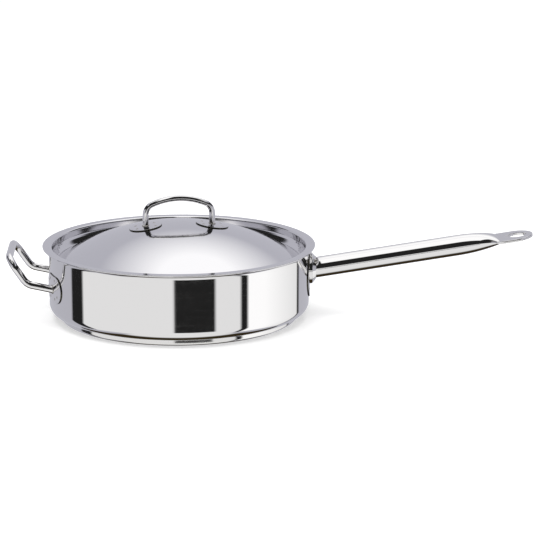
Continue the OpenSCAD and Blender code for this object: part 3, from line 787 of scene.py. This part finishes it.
def bent_rod_tree():
    """Geometry tree: bends a rod along straight runs, with each corner's own bend radius."""
    tree, given = new_tree("bent_rod", Rod_radius="Float", Steps_a_bend="Int", Finish="Material")
    bends = add(tree, "GeometryNodeInputNamedAttribute", {"Name": "bend"}, data_type="FLOAT")
    runs = add(tree, "GeometryNodeMeshToCurve", {"Mesh": given["Geometry"]})
    line = add(tree, "GeometryNodeFilletCurve", {
        "Curve": runs.outputs[0], "Count": given["Steps a bend"], "Radius": bends.outputs[0],
    }, mode="POLY")
    girth = add(tree, "GeometryNodeCurvePrimitiveCircle", {
        "Resolution": ROD_POINTS, "Radius": given["Rod radius"],
    })
    rod = add(tree, "GeometryNodeCurveToMesh", {
        "Curve": line.outputs[0], "Profile Curve": girth.outputs[0], "Fill Caps": True,
    })
    return end_tree(tree, rod.outputs[0], given["Finish"])


def bent_rod(name, corners, diameter, finish):
    """A rod through corners (x, y, z, bend radius) in mm."""
    seed = bpy.data.meshes.new(name + "_line")
    seed.from_pydata(
        [Vector(corner[:3]) * MM for corner in corners], [(i, i + 1) for i in range(len(corners) - 1)], [])
    bends = seed.attributes.new("bend", "FLOAT", "POINT")
    for spot, corner in zip(bends.data, corners):
        spot.value = corner[3] * MM
    return grown(
        name, seed, rod_tree, Rod_radius=diameter / 2 * MM, Steps_a_bend=BEND_STEPS, Finish=finish)


ROD_D = 8.0
LEG_TILT = math.radians(12.2)
LEG_OUT = 21.6
GRIP_LEN = 33.3
GRIP_TILT = math.radians(56.3)
LEG_BEND = 15.0
GRIP_BEND = 14.0
FOOT_DEPTH = 12.0
SEAT = 0.05

rod_tree = bent_rod_tree()
rod_steel = buffed_steel("buffed_steel_rods", "#e6e5e5", 0.015, (8, 8, 8))
corner_x = -(BODY_R + LEG_OUT)
corner_z = LEG_Z + LEG_OUT * math.tan(LEG_TILT)
grip_x = corner_x - GRIP_LEN * math.cos(GRIP_TILT)
grip_z = corner_z + GRIP_LEN * math.sin(GRIP_TILT)
half_side = [
    (FOOT_DEPTH - BODY_R, LEG_SPAN / 2, LEG_Z - FOOT_DEPTH * math.tan(LEG_TILT), 0),
    (corner_x, LEG_SPAN / 2, corner_z, LEG_BEND),
    (grip_x, LEG_SPAN / 2, grip_z, GRIP_BEND),
]
helper = bent_rod(
    "helper_rod", half_side + [(x, -y, z, bend) for x, y, z, bend in reversed(half_side)],
    ROD_D, rod_steel)
plate_r = (BODY_R + SADDLE_T - SEAT) * MM
for vertex in helper.data.vertices:
    if math.hypot(vertex.co.x, vertex.co.y) < plate_r:
        slide = -math.sqrt(plate_r ** 2 - vertex.co.y ** 2) - vertex.co.x
        vertex.co.x += slide
        vertex.co.z -= slide * math.tan(LEG_TILT)
placed(closed(helper), "pan", "handle_steel", "helper_handle")

# Helper handle's welds: a small lumpy bead of weld metal round each foot, where the rod meets its
# plate, and eight spot welds that hold each plate to the wall.
BEAD_POINTS = 16


def weld_ring_tree():
    """Geometry tree: runs a lumpy bead along closed lines."""
    tree, given = new_tree(
        "weld_ring", Bead_radius="Float", Lump_height="Float", Lump_spacing="Float", Finish="Material")
    line = add(tree, "GeometryNodeMeshToCurve", {"Mesh": given["Geometry"]})
    girth = add(tree, "GeometryNodeCurvePrimitiveCircle", {
        "Resolution": BEAD_POINTS, "Radius": given["Bead radius"],
    })
    bead = add(tree, "GeometryNodeCurveToMesh", {
        "Curve": line.outputs[0], "Profile Curve": girth.outputs[0],
    })
    often = add(tree, "ShaderNodeMath", {0: 1.0, 1: given["Lump spacing"]}, operation="DIVIDE")
    lumps = add(tree, "ShaderNodeTexNoise", {"Scale": often.outputs[0], "Detail": 1.0})
    swell = add(tree, "ShaderNodeMath", {0: lumps.outputs[0], 1: 0.5}, operation="SUBTRACT")
    swell = add(tree, "ShaderNodeMath", {
        0: swell.outputs[0], 1: given["Lump height"],
    }, operation="MULTIPLY")
    out = add(tree, "GeometryNodeInputNormal").outputs[0]
    offset = add(tree, "ShaderNodeVectorMath", {0: out, "Scale": swell.outputs[0]}, operation="SCALE")
    rough_bead = add(tree, "GeometryNodeSetPosition", {
        "Geometry": bead.outputs[0], "Offset": offset.outputs[0],
    })
    return end_tree(tree, rough_bead.outputs[0], given["Finish"])


def weld_rings(name, loops, radius, finish):
    """Beads along closed loops of points in metres."""
    seed = bpy.data.meshes.new(name + "_lines")
    points = [point for loop in loops for point in loop]
    edges = []
    start = 0
    for loop in loops:
        edges += [(start + i, start + (i + 1) % len(loop)) for i in range(len(loop))]
        start += len(loop)
    seed.from_pydata(points, edges, [])
    made = grown(
        name, seed, ring_tree, Bead_radius=radius * MM, Lump_height=radius * MM / 2,
        Lump_spacing=2 * radius * MM, Finish=finish)
    return closed(made)


FOOT_BEAD = 0.8
INNER_SPOT = (8.0, 10.0)
OUTER_SPOT = (15.5, 6.5)
LOOP_POINTS = 72

ring_tree = weld_ring_tree()
foot_turns = [2 * math.pi * i / LOOP_POINTS for i in range(LOOP_POINTS)]
foot_loops = []
for side in (-1, 1):
    loop = []
    for turn in foot_turns:
        y = (side * LEG_SPAN / 2 + ROD_D / 2 * math.cos(turn)) * MM
        rise = ROD_D / 2 * math.sin(turn)
        x = -math.sqrt(((BODY_R + SADDLE_T) * MM) ** 2 - y ** 2)
        from_wall = -BODY_R * MM - x
        z = (LEG_Z + rise / math.cos(LEG_TILT)) * MM + from_wall * math.tan(LEG_TILT)
        loop.append((x, y, z))
    foot_loops.append(loop)
placed(
    weld_rings("helper_foot_beads", foot_loops, FOOT_BEAD, weld_metal),
    "pan", "weld_metal", "helper_foot_welds")
pad_spots = [(c * col, r * row) for col, row in (INNER_SPOT, OUTER_SPOT) for c in (-1, 1) for r in (-1, 1)]
helper_spots = [
    spot for side in (-1, 1) for spot in wall_spots(math.pi + side * leg_angle, LEG_Z, pad_spots)
]
placed(
    weld_marks("helper_plate_spots", helper_spots, SPOT_R, SPOT_H, weld_metal),
    "pan", "weld_metal", "helper_spot_welds")

# Lid: one 0.8 mm stainless sheet, spun to a dome with a channel round it, an upright skirt that
# drops into the pan and a flange that rests on the lip. Buffed on the lathe, in fine rings.

# Rings and smears in mm, and how the noise of both together dulls the steel
RING_SPACING = 2.0
RING_DEPTH = 0.001
SMEAR_SIZE = 30.0
SMEAR_RANGE = (0.7, 1.3)
SMEAR_DULLS = 0.04


def ringed_steel(name, colour, gloss):
    """Stainless steel buffed on a lathe. The eye sees clear reflections with rings in their sheen
    that lie about the lid's axis, drawn about 2 mm apart because real ones are too fine to show."""
    made, tree = new_material(name)
    place = add(tree, "ShaderNodeTexCoord").outputs["Object"]
    flat = add(tree, "ShaderNodeVectorMath", {0: place, 1: (1.0, 1.0, 0.0)}, operation="MULTIPLY")
    from_axis = add(tree, "ShaderNodeVectorMath", {0: flat.outputs[0]}, operation="LENGTH")
    far = add(tree, "ShaderNodeCombineXYZ", {0: from_axis.outputs["Value"]})
    rings = add(tree, "ShaderNodeTexNoise", {
        "Vector": far.outputs[0], "Scale": 1 / (RING_SPACING * MM), "Detail": 3.0,
    })
    smears = add(tree, "ShaderNodeTexNoise", {
        "Vector": place, "Scale": 1 / (SMEAR_SIZE * MM), "Detail": 2.0,
    })
    mixed = add(tree, "ShaderNodeMath", {0: rings.outputs[0], 1: smears.outputs[0]}, operation="ADD")
    rough = add(tree, "ShaderNodeMapRange", {
        0: mixed.outputs[0], 1: SMEAR_RANGE[0], 2: SMEAR_RANGE[1], 3: gloss, 4: gloss + SMEAR_DULLS,
    })
    bump = add(tree, "ShaderNodeBump", {"Height": rings.outputs[0], "Distance": RING_DEPTH * MM})
    skin = add(tree, "ShaderNodeBsdfPrincipled", {
        "Base Color": linear(colour), "Metallic": 1.0,
        "Roughness": rough.outputs[0], "Normal": bump.outputs[0],
    })
    add(tree, "ShaderNodeOutputMaterial", {0: skin.outputs[0]})
    return made


LID_T = 0.8
FLANGE_OVER = 1.0
SKIRT_GAP = 2.1
FLANGE_BEND = 2.5
SKIRT_H = 7.4
SKIRT_SLOPE = math.radians(27)
HOLLOW = math.radians(8.5)
HOLLOW_R = 20.0
SKIRT_BEND = 3.0
CHANNEL_R = 2.0
DOME_R = 239.5
CROWN_H = 22.5
# The dome is finely stepped on top, where steps under 1.2 mm need no guards, and coarsely below
DOME_STEPS = 116
UNDER_STEPS = 16
CHANNEL_STEPS = 14

lid_steel = ringed_steel("ringed_steel_lid", "#e4e3e5", 0.06)
flange_z = BODY_H + LID_T
flange_r = lip_r + FLANGE_OVER
skirt_r = BODY_R - WALL - SKIRT_GAP - LID_T
skirt_z = flange_z - SKIRT_H
dome_z = flange_z + CROWN_H - DOME_R
reach_x = skirt_r - CHANNEL_R * math.cos(SKIRT_SLOPE)
reach_z = skirt_z + CHANNEL_R * math.sin(SKIRT_SLOPE) - dome_z
half_b = reach_x * math.sin(SKIRT_SLOPE) + reach_z * math.cos(SKIRT_SLOPE)
slope_len = half_b - math.sqrt(half_b ** 2 - reach_x ** 2 - reach_z ** 2 + (DOME_R + CHANNEL_R) ** 2)
channel = Vector((
    reach_x - slope_len * math.sin(SKIRT_SLOPE),
    reach_z - slope_len * math.cos(SKIRT_SLOPE) + dome_z,
))
dome_angle = math.atan2(channel.y - dome_z, channel.x)


def arc(x, z, radius, start, end, count):
    """Points in mm round (x, z) from one angle to another, ends included."""
    turns = [start + (end - start) * i / count for i in range(count + 1)]
    return [(x + radius * math.cos(t), z + radius * math.sin(t)) for t in turns]


slope_out = LID_T * math.tan(SKIRT_SLOPE / 2)
low_slope, high_slope = SKIRT_SLOPE + HOLLOW, SKIRT_SLOPE - HOLLOW
slope_foot = channel + CHANNEL_R * Vector((math.cos(low_slope), -math.sin(low_slope)))
rise = (skirt_r - slope_foot.x - (skirt_z - slope_foot.y) * math.tan(high_slope)) / (
    math.tan(low_slope) - math.tan(high_slope))
hollow = slope_foot + rise * Vector((math.tan(low_slope), 1))
rim = rounded([
    (*slope_foot, 0), (*hollow, HOLLOW_R),
    (skirt_r, skirt_z, SKIRT_BEND), (skirt_r, flange_z, FLANGE_BEND),
    (flange_r, flange_z, EDGE_R), (flange_r, flange_z - LID_T, EDGE_R),
    (skirt_r + LID_T, flange_z - LID_T, FLANGE_BEND - LID_T),
    (skirt_r + LID_T, skirt_z - slope_out, SKIRT_BEND + LID_T),
    (*(channel + (CHANNEL_R + LID_T) * Vector((math.cos(SKIRT_SLOPE), -math.sin(SKIRT_SLOPE)))), 0),
])
lid_section = (
    arc(0, dome_z, DOME_R, math.pi / 2, dome_angle, DOME_STEPS)
    + arc(*channel, CHANNEL_R, dome_angle - math.pi, -low_slope, CHANNEL_STEPS)[1:-1]
    + rim
    + arc(*channel, CHANNEL_R + LID_T, -SKIRT_SLOPE, dome_angle - math.pi, CHANNEL_STEPS)[1:]
    + arc(0, dome_z, DOME_R - LID_T, dome_angle, math.pi / 2, UNDER_STEPS)[1:]
)
placed(turned("lid_dome", lid_section, lid_steel), "lid", "satin_steel", "lid_shell")

# Lid handle's plates: two round plates of 1.2 mm stainless sheet, pressed to the dome's curve and
# spot welded to it, on a line turned by a few degrees as the lid stands.
LID_SPAN = 72.0
LID_PAD_R = 17.5
LID_TURN = math.radians(7)


def on_dome(middle):
    """How a plate lies on the dome, about a middle along the lid handle in mm."""
    def lay(across, up, lift):
        x = middle + across
        flat = Vector((x, up, dome_z + math.sqrt((DOME_R + lift) ** 2 - x * x - up * up)))
        return flat @ Matrix.Rotation(-LID_TURN, 3, "Z") * MM
    return lay


for name, side in (("left", -1), ("right", 1)):
    plate = pressed_plate(
        "lid_plate_" + name, 2 * LID_PAD_R, 2 * LID_PAD_R, SADDLE_T,
        on_dome(side * LID_SPAN / 2), lid_steel)
    placed(plate, "lid", "satin_steel", "lid_saddle_" + name)

# Lid handle: one 6.5 mm stainless rod, bent to a low arch with tight shoulders, buffed and then
# welded upright to its plates.
LID_ROD_D = 6.5
GRIP_RISE = 27.17
SHOULDER_R = 12.0
ARCH_R = 72.0

lid_turned = Matrix.Rotation(LID_TURN, 4, "Z")
arch_angle = math.asin((LID_SPAN / 2 - SHOULDER_R) / (ARCH_R - SHOULDER_R))
grip_top = flange_z + CROWN_H + GRIP_RISE
arch_side = grip_top - ARCH_R * (1 - math.cos(arch_angle))
arch_x = ARCH_R * math.sin(arch_angle)
peak_z = arch_side + arch_x * math.tan(arch_angle)
shoulder_z = arch_side - (LID_SPAN / 2 - arch_x) * math.tan(arch_angle)
lid_rod = bent_rod("lid_rod", [
    (-LID_SPAN / 2, 0, flange_z + CROWN_H / 2, 0), (-LID_SPAN / 2, 0, shoulder_z, SHOULDER_R),
    (0, 0, peak_z, ARCH_R),
    (LID_SPAN / 2, 0, shoulder_z, SHOULDER_R), (LID_SPAN / 2, 0, flange_z + CROWN_H / 2, 0),
], LID_ROD_D, rod_steel)
plate_top = DOME_R + SADDLE_T - SEAT
for vertex in lid_rod.data.vertices:
    x, y, z = vertex.co / MM
    seat_z = dome_z + math.sqrt(plate_top ** 2 - x * x - y * y)
    vertex.co.z = max(z, seat_z) * MM
lid_rod.data.transform(lid_turned)
placed(closed(lid_rod), "lid", "handle_steel", "lid_handle")

# Lid handle's welds: a small lumpy bead of weld metal round each foot, and four spot welds that
# hold each plate to the dome.
LID_SPOT = (10.0, 7.0)

lid_loops = []
for side in (-1, 1):
    loop = []
    for turn in foot_turns:
        x = side * LID_SPAN / 2 + LID_ROD_D / 2 * math.cos(turn)
        y = LID_ROD_D / 2 * math.sin(turn)
        z = dome_z + math.sqrt((DOME_R + SADDLE_T) ** 2 - x * x - y * y)
        loop.append(lid_turned @ (Vector((x, y, z)) * MM))
    lid_loops.append(loop)
placed(
    weld_rings("lid_foot_beads", lid_loops, FOOT_BEAD, weld_metal),
    "lid", "weld_metal", "lid_foot_welds")
lid_spots = []
for x in (side * LID_SPAN / 2 + col * LID_SPOT[0] for side in (-1, 1) for col in (-1, 1)):
    for y in (-LID_SPOT[1], LID_SPOT[1]):
        outward = Vector((x, y, math.sqrt((DOME_R + SADDLE_T) ** 2 - x * x - y * y))).normalized()
        place = (outward * (DOME_R + SADDLE_T) + Vector((0, 0, dome_z))) * MM
        lid_spots.append((lid_turned @ place, lid_turned.to_3x3() @ outward))
placed(
    weld_marks("lid_plate_spots", lid_spots, SPOT_R, SPOT_H, weld_metal),
    "lid", "weld_metal", "lid_spot_welds")
